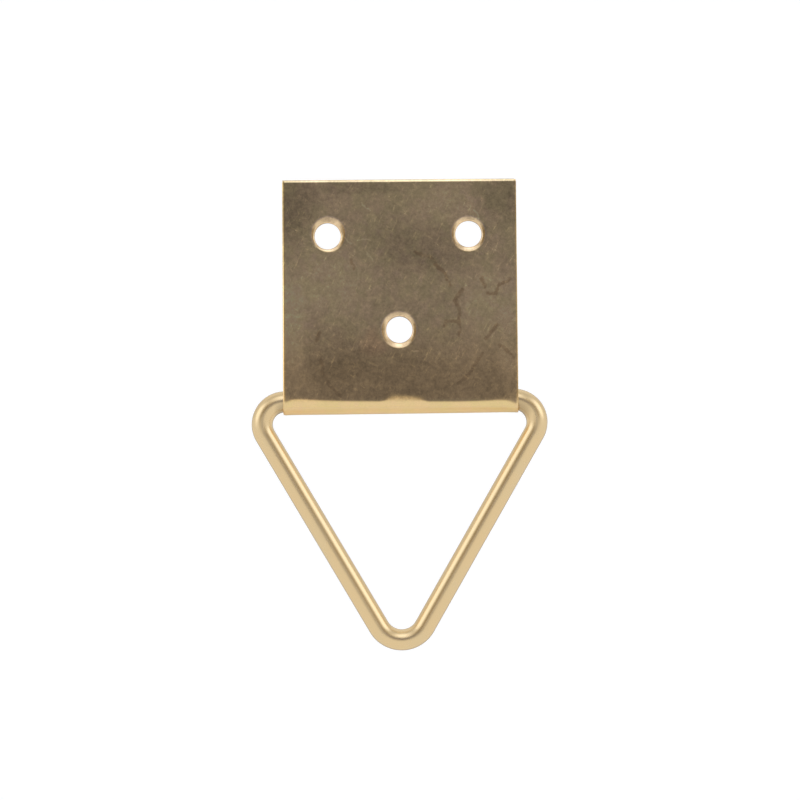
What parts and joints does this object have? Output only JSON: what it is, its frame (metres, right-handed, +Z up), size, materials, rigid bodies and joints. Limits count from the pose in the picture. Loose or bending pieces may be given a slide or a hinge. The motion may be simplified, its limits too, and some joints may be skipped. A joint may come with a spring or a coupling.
{
  "type": "picture hanger",
  "caption": "Square folded sheet plate with screw holes, holding a triangular wire ring that swings in its fold, for hanging a picture frame.",
  "frame": {"origin": "centre of the flat back face of the folded plate", "axes": "+X to the right seen from the front, +Y into the wall or frame that the plate is screwed to, +Z up from the fold to the plate's top edge"},
  "size_m": [0.0314, 0.003, 0.05],
  "materials": {
    "plate_brass": "bright brass, mottled and lightly scratched",
    "wire_brass": "bright drawn brass wire"
  },
  "bodies": {
    "plate": {"folded_plate": "plate_brass"},
    "ring": {"triangle_ring": "wire_brass"}
  },
  "joints": [
    {"name": "ring_swing", "type": "hinge", "parent": "plate", "child": "ring", "pos_m": [0, -0.00148, -0.01102], "axis": [-1, 0, 0], "range_deg": [-150, 150]}
  ]
}
